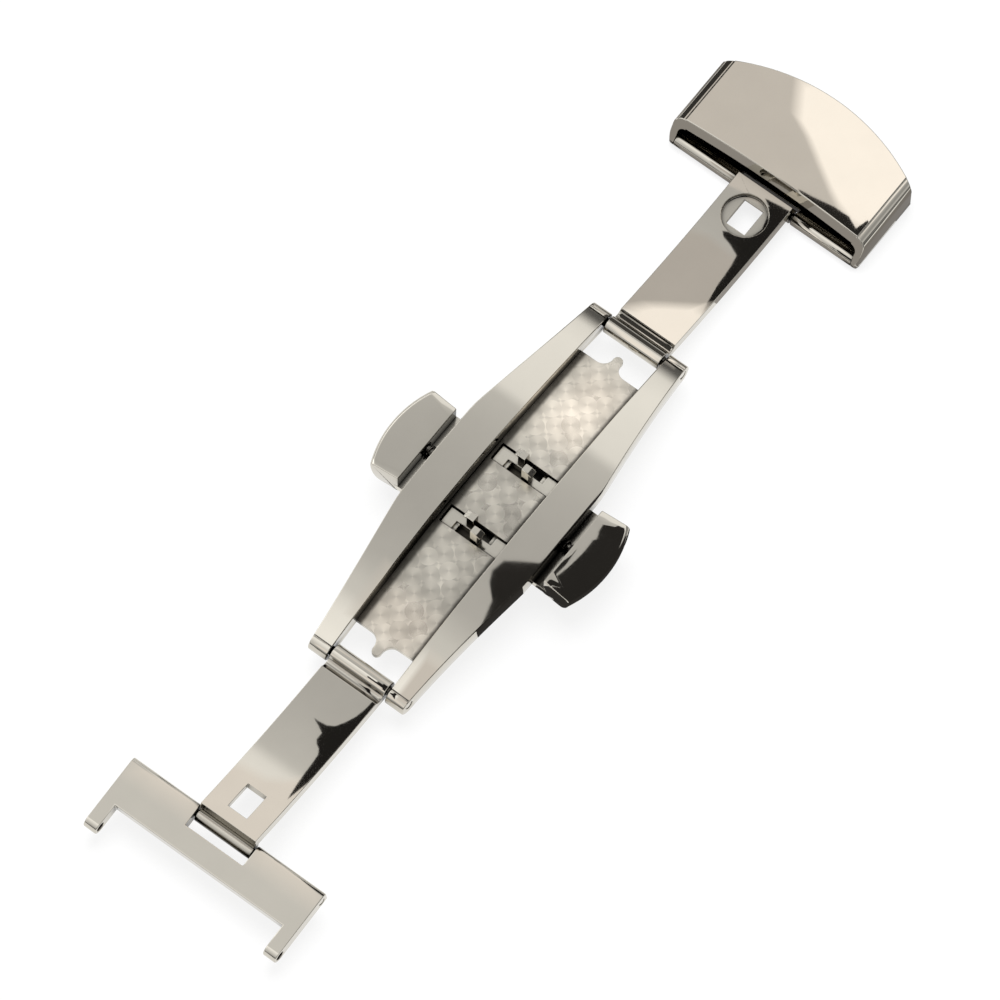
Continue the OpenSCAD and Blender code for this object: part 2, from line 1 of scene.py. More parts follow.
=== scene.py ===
# %% [markdown]
# # An open deployant clasp in polished steel
#
# A deployant clasp joins the two ends of a watch strap. Two curved rails hold a floor plate with
# the catch, one arm folds out at each end, and the arms carry a cap and an end plate for the strap.
# The measured steel parts come in as a fixed frame, so this script never decides where a part
# sits. It decides how the steel looks: its edges, its polish, its light. The clasp's lengths are
# written in millimetres, and the factor MM turns them into Blender's metres.

# %% The frame
import json
import math

import bmesh
import bpy
import numpy as np
from mathutils import Matrix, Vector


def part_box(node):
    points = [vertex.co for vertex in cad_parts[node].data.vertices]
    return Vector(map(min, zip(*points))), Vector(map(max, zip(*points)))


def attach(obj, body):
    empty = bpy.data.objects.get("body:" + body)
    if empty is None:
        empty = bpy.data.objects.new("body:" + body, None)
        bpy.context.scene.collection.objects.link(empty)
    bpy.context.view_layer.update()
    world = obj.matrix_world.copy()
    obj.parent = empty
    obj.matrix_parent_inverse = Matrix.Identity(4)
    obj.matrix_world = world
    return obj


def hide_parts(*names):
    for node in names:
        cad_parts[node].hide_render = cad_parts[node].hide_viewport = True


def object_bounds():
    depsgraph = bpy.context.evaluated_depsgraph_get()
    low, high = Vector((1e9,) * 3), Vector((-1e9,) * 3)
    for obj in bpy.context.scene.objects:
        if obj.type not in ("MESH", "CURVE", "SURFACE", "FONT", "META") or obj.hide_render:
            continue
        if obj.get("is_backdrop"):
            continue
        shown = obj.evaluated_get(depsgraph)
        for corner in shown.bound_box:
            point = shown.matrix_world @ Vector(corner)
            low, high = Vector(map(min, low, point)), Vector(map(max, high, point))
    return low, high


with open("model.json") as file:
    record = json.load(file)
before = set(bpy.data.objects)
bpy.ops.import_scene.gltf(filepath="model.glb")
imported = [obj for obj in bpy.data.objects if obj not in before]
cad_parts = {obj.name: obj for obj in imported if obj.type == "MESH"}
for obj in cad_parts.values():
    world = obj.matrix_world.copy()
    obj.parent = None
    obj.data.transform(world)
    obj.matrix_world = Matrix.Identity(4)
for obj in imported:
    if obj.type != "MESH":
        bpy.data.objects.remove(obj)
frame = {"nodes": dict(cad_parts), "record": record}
cad_low, cad_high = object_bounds()
MM = 0.001
record = frame["record"]
BODY_OF = {node: body for body, nodes in record["behaviour"]["bodies"].items() for node in nodes}
SLOT_OF = {part["node"]: part["material_slot"] for part in record["subparts"]}
print("steel parts in the frame:", len(BODY_OF))

# %% [markdown]
# ## The camera
#
# Small metal parts are photographed from far away with a long lens, so that they hardly narrow
# with distance. The camera's three axes were worked out from edges that are straight and parallel
# on a real clasp. A 360 mm lens on a 36 mm sensor gives the same narrow view, with no depth of
# field.

# %% Camera
RIGHT = (0.605126343, -0.7960564779, 0.0107792844)
DOWN = (-0.7260056191, -0.5573319115, -0.4028609952)
FORWARD = (0.3267077441, 0.2359559797, -0.9151976975)
EYE_MM = (-280.95466, -202.9412, 789.16695)
LENS_MM, SENSOR_MM = 360, 36

scene = bpy.context.scene
lens = bpy.data.cameras.new("long_lens")
lens.lens = LENS_MM
lens.sensor_width = SENSOR_MM
lens.clip_start = 0.05
camera = bpy.data.objects.new("camera", lens)
axes = np.array([RIGHT, np.negative(DOWN), np.negative(FORWARD)]).T
camera.matrix_world = Matrix([[*axes[row], EYE_MM[row] * MM] for row in range(3)] + [[0, 0, 0, 1]])
scene.collection.objects.link(camera)
scene.camera = camera
print("camera to clasp:", round(float(np.linalg.norm(EYE_MM))), "mm")

# %% [markdown]
# ## Small tools for materials
#
# Colours are written as people read them off a screen, in sRGB hex, and one function turns them
# into the linear values that light is added up in. One function adds a node, sets it and joins it
# up, so that a material reads from top to bottom like a recipe. One more starts an empty material.

# %% Material tools
def linear(hex_colour):
    """sRGB hex to linear RGBA: c/12.92 below 0.04045, else ((c+0.055)/1.055)^2.4."""
    c = np.array([int(hex_colour[i:i + 2], 16) for i in (1, 3, 5)]) / 255
    return (*np.where(c < 0.04045, c / 12.92, ((c + 0.055) / 1.055) ** 2.4), 1.0)


def add(tree, kind, inputs=None, **settings):
    """Adds a node. Each input is a plain value or the output socket that feeds it."""
    made = tree.nodes.new(kind)
    for name, value in settings.items():
        setattr(made, name, value)
    for name, value in (inputs or {}).items():
        if isinstance(value, bpy.types.NodeSocket):
            tree.links.new(value, made.inputs[name])
        else:
            made.inputs[name].default_value = value
    return made


def fresh(name):
    """An empty node material of that name, with its tree."""
    material = bpy.data.materials.new(name)
    material.use_nodes = True
    material.node_tree.nodes.clear()
    return material, material.node_tree


print("middle grey #808080 is", round(float(linear("#808080")[0]), 3), "of white light")

# %% [markdown]
# ## The steel
#
# The clasp is 316L stainless steel, stamped and milled, then tumbled and buffed. Three things tell
# the eye that it is steel and not chrome plate. It is a little warm and grey. Its polish still has
# fine hairlines from the last buffing wheel, so that reflections spread slightly along one
# direction. And its narrow gaps and hollows look nearly black, which here is painted shade.
#
# All this could be painted on each part by hand. Here the surface finds it by itself, so that one
# recipe serves every part: ambient occlusion finds the gaps and hollows, which get painted shade,
# and the hairlines are noise stretched along the buffing direction. Both are sized from real
# widths. A metal keeps the default IOR.

# %% Steel
HAIR_STRETCH = 60  # a hairline is this many times as long as it is wide
CLOUD_MM = 3  # handling marks are soft clouds about this wide
GAP_SHADE = "#14120F"  # painted shade in gaps and hollows, nearly black


def steel(name, colour, roughness, spread, hair_mm, hair_depth, along, gap_mm=1.6, anisotropic=0.0):
    """Buffed stainless steel, with hairlines hair_mm wide and hair_depth deep along one direction.

    The handling marks change its roughness by spread, and gaps narrower than gap_mm get painted
    shade.
    """
    material, tree = fresh(name)
    place = add(tree, "ShaderNodeTexCoord").outputs["Object"]
    per_metre = [1 / (hair_mm * MM * (HAIR_STRETCH if axis else 1)) for axis in along]
    stretched = add(tree, "ShaderNodeMapping", {"Vector": place, "Scale": per_metre}).outputs[0]
    hair = add(tree, "ShaderNodeTexNoise", {"Vector": stretched, "Scale": 1.0,
        "Detail": 3.0}).outputs[0]
    cloud = add(tree, "ShaderNodeTexNoise", {"Vector": place, "Scale": 1 / (CLOUD_MM * MM),
        "Detail": 4.0}).outputs[0]
    dull = add(tree, "ShaderNodeMapRange", {"Value": cloud, "From Min": 0.3, "From Max": 0.7,
        "To Min": roughness - spread, "To Max": roughness + spread}).outputs[0]
    # painted shade: gaps and hollows found by ambient occlusion are darkened towards a near-black
    # colour
    gap = add(tree, "ShaderNodeAmbientOcclusion", {"Distance": gap_mm * MM},
        samples=8).outputs["AO"]
    painted_gap_shade = add(tree, "ShaderNodeMapRange", {"Value": gap, "From Min": 0.4, "From Max": 0.95,
        "To Min": 0.03, "To Max": 1.0}, interpolation_type="SMOOTHSTEP").outputs[0]
    tone = add(tree, "ShaderNodeMapRange", {"Value": cloud, "From Min": 0.25, "From Max": 0.75,
        "To Min": 0.96, "To Max": 1.0}).outputs[0]
    shade = add(tree, "ShaderNodeMath", {0: painted_gap_shade, 1: tone}, operation="MULTIPLY").outputs[0]
    tint = add(tree, "ShaderNodeMix", {"Factor": shade, 6: linear(GAP_SHADE), 7: linear(colour)},
        data_type="RGBA").outputs[2]
    bump = add(tree, "ShaderNodeBump", {"Height": hair, "Strength": 1.0,
        "Distance": hair_depth * MM}).outputs[0]
    shader = add(tree, "ShaderNodeBsdfPrincipled", {"Base Color": tint, "Metallic": 1.0,
        "Roughness": dull, "Normal": bump, "Anisotropic": anisotropic})
    add(tree, "ShaderNodeOutputMaterial", {"Surface": shader.outputs[0]})
    return material


STEELS = {
    # mirror polish on a soft wheel
    "polished_steel": steel("polished_316L_steel", "#CDC8BD", roughness=0.045, spread=0.015,
        hair_mm=0.05, hair_depth=0.0002, along=(1, 0, 0)),
    # lapped along the clasp, on the side that lies on the wrist
    "brushed_steel": steel("brushed_316L_steel", "#C2BDB2", roughness=0.3, spread=0.05,
        hair_mm=0.06, hair_depth=0.003, along=(1, 0, 0), anisotropic=0.4),
    # drawn rod, turned and polished
    "pin_steel": steel("drawn_pin_steel", "#D0CBC0", roughness=0.12, spread=0.02,
        hair_mm=0.05, hair_depth=0.0006, along=(0, 1, 0)),
    # stamped sheet, tumbled
    "slide_steel": steel("tumbled_sheet_steel", "#DCD7CB", roughness=0.14, spread=0.04,
        hair_mm=0.08, hair_depth=0.001, along=(0, 1, 0), gap_mm=0.5),
    # cold drawn music wire
    "spring_steel": steel("drawn_spring_wire", "#9A958C", roughness=0.25, spread=0.04,
        hair_mm=0.03, hair_depth=0.0006, along=(0, 1, 0)),
}
print("steels:", ", ".join(sorted(STEELS)))

# %% [markdown]
# ## The grained floor plate
#
# The floor plate carries a pattern of overlapping round spots, made by touching a small turning
# abrasive peg to the sheet again and again. Each spot is a set of fine rings, and a later spot
# covers an earlier one. The spots could be cut into the mesh, but that takes far too many faces.
# So four square lattices of spots, each shifted by half a cell, are laid over each other in the
# material: the last lattice whose spot reaches a point wins.

# %% Overlapping spots
SPOT_STEP = 1.1  # mm between neighbouring spots
SPOT_RADIUS = 0.85  # mm
CELL = 2 * SPOT_STEP * MM  # a lattice's own step
LATTICES = ((0.1, 0.2), (0.6, 0.7), (0.6, 0.2), (0.1, 0.7))  # how far each is shifted, in cells
STRAY = 0.14  # a spot lands a little off its place, as the peg is set down by hand


def covering_spot(tree, place):
    """The vector from the centre of the spot on top, in cells, and that spot's random number."""
    nearest = 0.5 - STRAY / 2
    spoke = chance = None
    for order, shift in enumerate(LATTICES):
        moved = add(tree, "ShaderNodeMapping", {"Vector": place, "Scale": (1 / CELL, 1 / CELL, 0),
            "Location": (*shift, 0)}).outputs[0]
        number = add(tree, "ShaderNodeVectorMath", {0: moved}, operation="FLOOR").outputs[0]
        dice = add(tree, "ShaderNodeTexWhiteNoise", {"Vector": number, "W": order + 0.5},
            noise_dimensions="4D")
        inside = add(tree, "ShaderNodeVectorMath", {0: moved}, operation="FRACTION").outputs[0]
        centre = add(tree, "ShaderNodeVectorMath", {0: dice.outputs["Color"],
            1: (STRAY, STRAY, 0), 2: (nearest, nearest, 0)}, operation="MULTIPLY_ADD").outputs[0]
        centred = add(tree, "ShaderNodeVectorMath", {0: inside, 1: centre},
            operation="SUBTRACT").outputs[0]
        level = add(tree, "ShaderNodeVectorMath", {0: centred, 1: (1, 1, 0)},
            operation="MULTIPLY").outputs[0]
        if spoke is None:
            spoke, chance = level, dice.outputs["Value"]
            continue
        reach = add(tree, "ShaderNodeVectorMath", {0: level}, operation="LENGTH").outputs["Value"]
        covers = add(tree, "ShaderNodeMath", {0: reach, 1: SPOT_RADIUS * MM / CELL},
            operation="LESS_THAN").outputs[0]
        spoke = add(tree, "ShaderNodeMix", {"Factor": covers, 4: spoke, 5: level},
            data_type="VECTOR").outputs[1]
        chance = add(tree, "ShaderNodeMix", {"Factor": covers, 2: chance,
            3: dice.outputs["Value"]}).outputs[0]
    return spoke, chance


print("a cell of each lattice is", round(CELL / MM, 2), "mm wide")

# %% [markdown]
# The rings are a sine wave of the distance to the spot's centre, used as a bump. Real rings are a
# few hundredths of a millimetre apart, so here they are drawn coarser, at a tenth, to show at all.
# Round scratches throw light along one line only. Here that bow tie of light is painted into each
# spot's colour, as a painted highlight.

# %% Rings
RING_STEP = 0.12  # mm
RING_DEPTH = 0.0008  # mm
GLINT_LINE = (0.8, 0.6, 0)  # a direction one unit long
GLINT_SHARE = 0.2  # of a spot's brightness, which is painted glint


def ring_bump(tree, spoke):
    """Rings about the spot's centre: height = sin(2 pi d / ring step), d = distance to it."""
    distance = add(tree, "ShaderNodeVectorMath", {0: spoke}, operation="LENGTH").outputs["Value"]
    rings = add(tree, "ShaderNodeMath", {0: distance, 1: math.tau * CELL / (RING_STEP * MM)},
        operation="MULTIPLY").outputs[0]
    height = add(tree, "ShaderNodeMath", {0: rings}, operation="SINE").outputs[0]
    return add(tree, "ShaderNodeBump", {"Height": height, "Strength": 1.0,
        "Distance": RING_DEPTH * MM}).outputs[0]


def painted_ring_glint(tree, spoke):
    """A painted glint, a bow tie on each spot: glint = 1 - share + share * (heading . glint
    line)^2.
    """
    heading = add(tree, "ShaderNodeVectorMath", {0: spoke}, operation="NORMALIZE").outputs[0]
    across = add(tree, "ShaderNodeVectorMath", {0: heading, 1: GLINT_LINE},
        operation="DOT_PRODUCT").outputs["Value"]
    bow = add(tree, "ShaderNodeMath", {0: across, 1: across}, operation="MULTIPLY").outputs[0]
    return add(tree, "ShaderNodeMath", {0: bow, 1: GLINT_SHARE, 2: 1 - GLINT_SHARE},
        operation="MULTIPLY_ADD").outputs[0]


print("rings to a spot:", int(SPOT_RADIUS / RING_STEP))

# %% [markdown]
# A clasp that has been worn isn't evenly bright. The plate has soft patches a few millimetres
# across, and no two spots are pressed equally hard. Its sheltered places and its two long edges,
# beside the rails, are darkened as painted shade.

# %% Wear and painted shade
WEAR_MM = 3.2
SHELTER_MM = 1.8
EDGE_FROM_MM, EDGE_TO_MM = 2.5, 2.9  # off the middle line, the painted shade starts and is full here
EDGE_SHADE = 0.22  # brightness under that painted shade


def wear(tree, place, chance):
    """Brightness between 0.64 and 1: soft patches times each spot's own luck."""
    lot = add(tree, "ShaderNodeMapRange", {"Value": chance, "To Min": 0.8,
        "To Max": 1.0}).outputs[0]
    worn = add(tree, "ShaderNodeTexNoise", {"Vector": place, "Scale": 1 / (WEAR_MM * MM),
        "Detail": 2.0}).outputs[0]
    patch = add(tree, "ShaderNodeMapRange", {"Value": worn, "From Min": 0.35, "From Max": 0.65,
        "To Min": 0.8, "To Max": 1.0}, interpolation_type="SMOOTHSTEP").outputs[0]
    return add(tree, "ShaderNodeMath", {0: patch, 1: lot}, operation="MULTIPLY").outputs[0]


def painted_plate_shade(tree, place):
    """Painted shade: 1 in the open, less in sheltered places and along the two long edges."""
    # painted shade where ambient occlusion finds shelter
    gap = add(tree, "ShaderNodeAmbientOcclusion", {"Distance": SHELTER_MM * MM},
        samples=8).outputs["AO"]
    painted_gap_shade = add(tree, "ShaderNodeMapRange", {"Value": gap, "From Min": 0.3, "From Max": 0.9,
        "To Min": 0.1, "To Max": 1.0}, interpolation_type="SMOOTHSTEP").outputs[0]
    # painted shade: a dark strip along the plate's two long edges, under the rails
    side = add(tree, "ShaderNodeSeparateXYZ", {0: place}).outputs["Y"]
    off_middle = add(tree, "ShaderNodeMath", {0: side}, operation="ABSOLUTE").outputs[0]
    edge = add(tree, "ShaderNodeMapRange", {"Value": off_middle, "From Min": EDGE_FROM_MM * MM,
        "From Max": EDGE_TO_MM * MM, "To Min": 1.0, "To Max": EDGE_SHADE},
        interpolation_type="SMOOTHSTEP").outputs[0]
    return add(tree, "ShaderNodeMath", {0: painted_gap_shade, 1: edge}, operation="MULTIPLY").outputs[0]


def grained_steel(name, colour):
    """The spotted plate: ringed bump, and a tint between dark brown and steel, set by painted
    shade, painted glint and wear.
    """
    material, tree = fresh(name)
    place = add(tree, "ShaderNodeTexCoord").outputs["Object"]
    spoke, chance = covering_spot(tree, place)
    # the brightness is a painted glint times the wear
    shine = add(tree, "ShaderNodeMath", {0: painted_ring_glint(tree, spoke), 1: wear(tree, place, chance)},
        operation="MULTIPLY").outputs[0]
    shade = add(tree, "ShaderNodeMath", {0: painted_plate_shade(tree, place), 1: shine},
        operation="MULTIPLY").outputs[0]
    # the tint runs from a dark brown, the colour of the painted shade, to the steel
    tint = add(tree, "ShaderNodeMix", {"Factor": shade, 6: linear("#1A1814"), 7: linear(colour)},
        data_type="RGBA").outputs[2]
    dull = add(tree, "ShaderNodeMapRange", {"Value": chance, "To Min": 0.26,
        "To Max": 0.34}).outputs[0]
    shader = add(tree, "ShaderNodeBsdfPrincipled", {"Base Color": tint, "Metallic": 1.0,
        "Roughness": dull, "Normal": ring_bump(tree, spoke)})
    add(tree, "ShaderNodeOutputMaterial", {"Surface": shader.outputs[0]})
    return material


STEELS["patterned_steel"] = grained_steel("circular_grained_steel", "#EDE7DA")
print("nodes in the grained steel:", len(STEELS["patterned_steel"].node_tree.nodes))

# %% [markdown]
# ## Breaking the edges
#
# No machined edge is left knife sharp: the tumbling barrel rounds each to a few hundredths of a
# millimetre, and that thin round catches the light as a bright line. A shader can fake it in the
# picture, but the exported mesh would still be sharp. So the milled shapes are copied from the
# frame, their loose triangles are joined into whole faces, and a Bevel modifier rolls the edges.

# %% Rolled edges
WELD_MM = 0.0002  # corners nearer than this are one corner
FLAT_DEGREES = 0.05  # triangles that bend less than this are one face
SHARP_DEGREES = 35  # an edge that bends more than this is rolled
ROLL_STEPS = 3


def joined_copy(node):
    """A copy of a CAD node's mesh with its triangles merged and its flat faces made whole."""
    mesh = frame["nodes"][node].data.copy()
    work = bmesh.new()
    work.from_mesh(mesh)
    bmesh.ops.remove_doubles(work, verts=work.verts, dist=WELD_MM * MM)
    bmesh.ops.dissolve_limit(work, angle_limit=math.radians(FLAT_DEGREES), verts=work.verts,
        edges=work.edges)
    for face in work.faces:
        face.smooth = True
    work.to_mesh(mesh)
    work.free()
    mesh.materials.clear()
    return mesh


def rolled(mesh, roll_mm):
    """The mesh with each sharp edge rolled to a radius of roll_mm."""
    holder = bpy.data.objects.new("holder", mesh)
    scene.collection.objects.link(holder)
    roll = holder.modifiers.new("rolled edges", "BEVEL")
    roll.width = roll_mm * MM
    roll.segments = ROLL_STEPS
    roll.limit_method = "ANGLE"
    roll.angle_limit = math.radians(SHARP_DEGREES)
    roll.use_clamp_overlap = False
    view = bpy.context.evaluated_depsgraph_get()
    result = bpy.data.meshes.new_from_object(holder.evaluated_get(view))
    bpy.data.objects.remove(holder)
    return result


print("edges over", SHARP_DEGREES, "degrees are rolled in", ROLL_STEPS, "steps")

# %% [markdown]
# ## True normals on the broad faces
#
# A mirror shows every flaw of a mesh. A long curved rail is drawn here with flat facets, and
# averaged normals would make its reflection zigzag. Far finer facets would hide that, at the cost
# of a heavy mesh. Instead each broad face is found again: facets that meet at a very small angle
# belong to one face, found by handing the smallest label on until nothing changes.

# %% Finding whole faces
BEND_DEGREES = 4


def values_of(items, name, kind=float, size=1):
    """One property of all of a mesh's items, as an array."""
    values = np.empty(len(items) * size, kind)
    items.foreach_get(name, values)
    return values if size == 1 else values.reshape(-1, size)


def shared_edges(mesh):
    """Pairs of faces that meet at an edge, and the face that each corner belongs to."""
    edge = values_of(mesh.loops, "edge_index", int)
    sizes = values_of(mesh.polygons, "loop_total", int)
    face = np.repeat(np.arange(len(sizes)), sizes)
    order = np.argsort(edge, kind="stable")
    same = edge[order][1:] == edge[order][:-1]
    return face[order][:-1][same], face[order][1:][same], face


def islands(normals, a, b):
    """Labels faces that are joined across edges which hardly bend."""
    close = (normals[a] * normals[b]).sum(1) > math.cos(math.radians(BEND_DEGREES))
    a, b, label = a[close], b[close], np.arange(len(normals))
    while True:
        least = np.minimum(label[a], label[b])
        new = label.copy()
        np.minimum.at(new, a, least)
        np.minimum.at(new, b, least)
        new = new[new]
        if (new == label).all():
            return label
        label = new


trial = np.array([[0, 0, 1], [0, 0, 1], [1, 0, 0]])
print("two level facets and an upright one:", islands(trial, np.array([0, 1]), np.array([1, 2])))

# %% [markdown]
# If the facets of a face all point one way it is flat. Otherwise a circle is fitted to it, seen
# along x, y or z, because stamping and milling leave planes and cylinders. The circle comes from
# least squares: for a centre (a, b), x^2 + y^2 = 2 a x + 2 b y + c holds at every point.

# %% Planes and cylinders
PLANE_DEGREES = 0.2
SQUARE_ON = 0.03  # the most that a cylinder's facets lean along its axis
OUT_OF_ROUND_MM = 0.02


def true_normals(points, face_normals):
    """Normals of the plane or cylinder through the points, or None if neither fits."""
    mean = face_normals.mean(0)
    mean /= np.linalg.norm(mean)
    if (face_normals @ mean).min() > math.cos(math.radians(PLANE_DEGREES)):
        return np.broadcast_to(mean, points.shape)
    for axis in (1, 0, 2):
        if np.abs(face_normals[:, axis]).max() > SQUARE_ON:
            continue
        flat = np.delete(points / MM, axis, 1)
        system = np.column_stack([2 * flat, np.ones(len(flat))])
        answer = np.linalg.lstsq(system, (flat ** 2).sum(1), rcond=None)[0]
        spoke = flat - answer[:2]
        reach = np.linalg.norm(spoke, axis=1)
        if np.ptp(reach) < OUT_OF_ROUND_MM:
            side = np.sign((np.delete(mean, axis) * spoke.mean(0)).sum())
            return np.insert(side * spoke / reach[:, None], axis, 0, axis=1)
    return None


turn = np.linspace(0, 1, 9)
arc = np.stack([np.sin(turn), np.zeros(9), np.cos(turn)], 1)
miss = np.abs(true_normals(5 * MM * arc, arc) - arc).max()
print("largest miss on a 5 mm cylinder:", round(float(miss), 6))

# %% [markdown]
# Each corner of a broad face gets the normal of its plane or cylinder. The thin rolls between the
# broad faces take over those normals where they touch, and blend from one to the next.

# %% Setting the normals
BROAD_AREA_MM2 = 0.3
BROAD_WIDTH_MM = 0.12  # area over length


def set_true_normals(mesh):
    """Gives broad faces their true normals, and the rolls matching ones; counts the broad."""
    a, b, face_of = shared_edges(mesh)
    face_normals = values_of(mesh.polygons, "normal", size=3)
    area = values_of(mesh.polygons, "area")
    points = values_of(mesh.vertices, "co", size=3)
    vertex_of = values_of(mesh.loops, "vertex_index", int)
    label = islands(face_normals, a, b)
    corner = values_of(mesh.vertices, "normal", size=3)[vertex_of]
    broad_sum = np.zeros_like(points)
    broad_corner = np.zeros(len(vertex_of), bool)
    for name in np.unique(label):
        faces = label == name
        corners = faces[face_of]
        spots = points[vertex_of[corners]]
        size = area[faces].sum() / MM ** 2
        length = np.linalg.norm(np.ptp(spots, axis=0)) / MM
        if size < BROAD_AREA_MM2 or size / length < BROAD_WIDTH_MM:
            continue
        found = true_normals(spots, face_normals[faces])
        if found is None:
            continue
        corner[corners] = found
        broad_corner |= corners
        broad_sum[vertex_of[corners]] += found
    # a roll's corner that lies on a broad face
    touched = np.linalg.norm(broad_sum, axis=1) > 0.5
    blend = touched[vertex_of] & ~broad_corner
    corner[blend] = broad_sum[vertex_of[blend]]
    corner /= np.maximum(np.linalg.norm(corner, axis=1), 1e-9)[:, None]
    mesh.normals_split_custom_set(corner)
    return len(np.unique(label[face_of[broad_corner]]))


print("a broad face has at least", BROAD_AREA_MM2, "square mm")

# %% [markdown]
# ## The milled and stamped parts
#
# Twelve parts are milled or stamped: the rails and their floor plate, the cover under them, the
# two arms, the two slides with their push pieces, the cap with its base, and the end plate. Their
# shapes are measured already, so each is only finished: rolled edges, true normals, its steel.
# The more a part is touched, the more its edges are rolled. Every finished piece rides on the
# body that its part belongs to, so that it moves with the right joint.

# %% Finished steel parts
def finish_piece(piece, *nodes):
    """Gives a piece its steel, seats it on its body and lets it stand for the CAD nodes."""
    piece.data.materials.append(STEELS[SLOT_OF[nodes[0]]])
    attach(piece, BODY_OF[nodes[0]])
    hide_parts(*nodes)
    return piece


# part in the frame: name of the finished piece, and radius in mm that its edges are rolled to
ROLLED = {
    "housing": ("twin_rails", 0.1),
    "floor_plate": ("grained_floor", 0.03),
    "base_cover": ("wrist_cover", 0.1),
    "arm_a": ("cap_side_arm", 0.06),
    "arm_b": ("plate_side_arm", 0.06),
    "slide_left": ("left_slide", 0.04),
    "slide_right": ("right_slide", 0.04),
    "button_left": ("left_push_piece", 0.09),
    "button_right": ("right_push_piece", 0.09),
    "cap_cover": ("bowed_cap", 0.08),
    "cap_base": ("cap_hinge_base", 0.08),
    "end_plate": ("strap_end_plate", 0.1),
}
for node, (name, roll_mm) in ROLLED.items():
    mesh = rolled(joined_copy(node), roll_mm)
    broad = set_true_normals(mesh)
    piece = bpy.data.objects.new(name, mesh)
    scene.collection.objects.link(piece)
    finish_piece(piece, node)
    print(name, len(mesh.polygons), "faces,", broad, "broad")

# %% [markdown]
# ## Parts from the lathe
#
# Pins, rivets and the strap's peg were turned on a lathe, and the frame holds them with plain
# ends and few facets. A Screw modifier could turn them again, but working the points out as one
# array leaves the ends closed and several solids in one mesh. A profile is a list of distances
# along the axis and radii, and it is carried round the axis.

# %% Turned surfaces
AROUND = 48


def closed_mesh(name, points, quads, caps):
    """A piece from an array of points and an array of quads, with caps as longer faces."""
    mesh = bpy.data.meshes.new(name)
    mesh.from_pydata(points, [], quads.tolist() + [cap.tolist() for cap in caps])
    mesh.shade_smooth()
    mesh.update()
    piece = bpy.data.objects.new(name, mesh)
    scene.collection.objects.link(piece)
    return piece


def grid_quads(rows, columns):
    """Corner numbers of the faces of a grid that closes on itself across its columns."""
    i, j = np.meshgrid(np.arange(rows - 1), np.arange(columns), indexing="ij")
    k = (j + 1) % columns
    corners = [i * columns + j, i * columns + k, (i + 1) * columns + k, (i + 1) * columns + j]
    return np.stack(corners, -1).reshape(-1, 4)


def lathe_grid(profile, centre, axis):
    """Point(i, a) = centre + along_i * axis + radius_i * (cos a * u + sin a * v).

    u and v are square to the axis.
    """
    profile = np.array(profile, float)
    turn = np.linspace(0, math.tau, AROUND, endpoint=False)
    u, v = {"y": ((0, 0, 1), (1, 0, 0)), "z": ((1, 0, 0), (0, 1, 0))}[axis]
    w = np.cross(u, v)
    ring = np.cos(turn)[:, None] * np.array(u) + np.sin(turn)[:, None] * np.array(v)
    points = profile[:, 0, None, None] * w + profile[:, 1, None, None] * ring[None]
    return (np.array(centre) + points.reshape(-1, 3)) * MM, len(profile)


def lathe(name, *solids):
    """One piece of turned solids, each (profile, centre, axis), closed at both ends."""
    points, quads, caps, start = [], [], [], 0
    for profile, centre, axis in solids:
        grid, rings = lathe_grid(profile, centre, axis)
        points.append(grid)
        quads.append(start + grid_quads(rings, AROUND))
        caps.append(start + np.arange(AROUND)[::-1])
        caps.append(start + (rings - 1) * AROUND + np.arange(AROUND))
        start += len(grid)
    return closed_mesh(name, np.concatenate(points), np.concatenate(quads), caps)


print("faces to a band of a turned part:", len(grid_quads(2, AROUND)))

# %% [markdown]
# The pins of the hinges and of the push pieces have ends that were domed by a peening hammer. The
# dome is an arc from its steepest place down to the rod's side, drawn in towards the crown.

# %% Pins
STEEPEST_DEGREES = 82
DOME_RINGS = 8
PIN_DOME_MM = 0.05


def domed_rod(low, high, radius, dome):
    """Profile of a rod from low to high, with ends that rise by dome.

    At bend b the end lies dome * sin b out, at radius * (0.7 + 0.3 cos b), narrowed to three
    quarters at the crown.
    """
    bend = np.radians(np.linspace(STEEPEST_DEGREES, 0, DOME_RINGS))
    end = np.stack([-dome * np.sin(bend), radius - 0.3 * radius * (1 - np.cos(bend))], 1)
    end[:, 1] *= np.linspace(0.75, 1, DOME_RINGS)
    return np.concatenate([end + [low + dome, 0], (end * [-1, 1])[::-1] + [high - dome, 0]])


def box_mm(node):
    """A node's lowest and highest corners, in millimetres."""
    low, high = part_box(node)
    return np.array(low) / MM, np.array(high) / MM


PINS = {
    "hinge_pin_a": "cap_hinge_pin",
    "hinge_pin_b": "plate_hinge_pin",
    "cap_pin": "cap_pivot_pin",
    "plate_pin": "plate_pivot_pin",
    "guide_pin_left": "left_guide_pin",
    "guide_pin_right": "right_guide_pin",
}
for node, name in PINS.items():
    low, high = box_mm(node)
    middle, half = (low + high) / 2, (high - low) / 2
    rod = domed_rod(-half[1], half[1], half[2], PIN_DOME_MM)
    finish_piece(lathe(name, (rod, middle, "y")), node)
    print(name, "radius and length:", half[2].round(3), (2 * half[1]).round(2), "mm")

# %% [markdown]
# Four rivets hold the cover under the rails, one near each corner. They are the same domed rod,
# set upright, and together they are one piece.

# %% Rivets
RIVET_RADIUS = 0.4
RIVET_DOME_MM = 0.04

low, high = box_mm("cover_rivets")
rivet = domed_rod(low[2], high[2], RIVET_RADIUS, RIVET_DOME_MM)
rivets = [(rivet, (x, y, 0), "z")
    for x in (low[0] + RIVET_RADIUS, high[0] - RIVET_RADIUS)
    for y in (low[1] + RIVET_RADIUS, high[1] - RIVET_RADIUS)]
finish_piece(lathe("cover_rivet_set", *rivets), "cover_rivets")
print("rivets:", len(rivets))

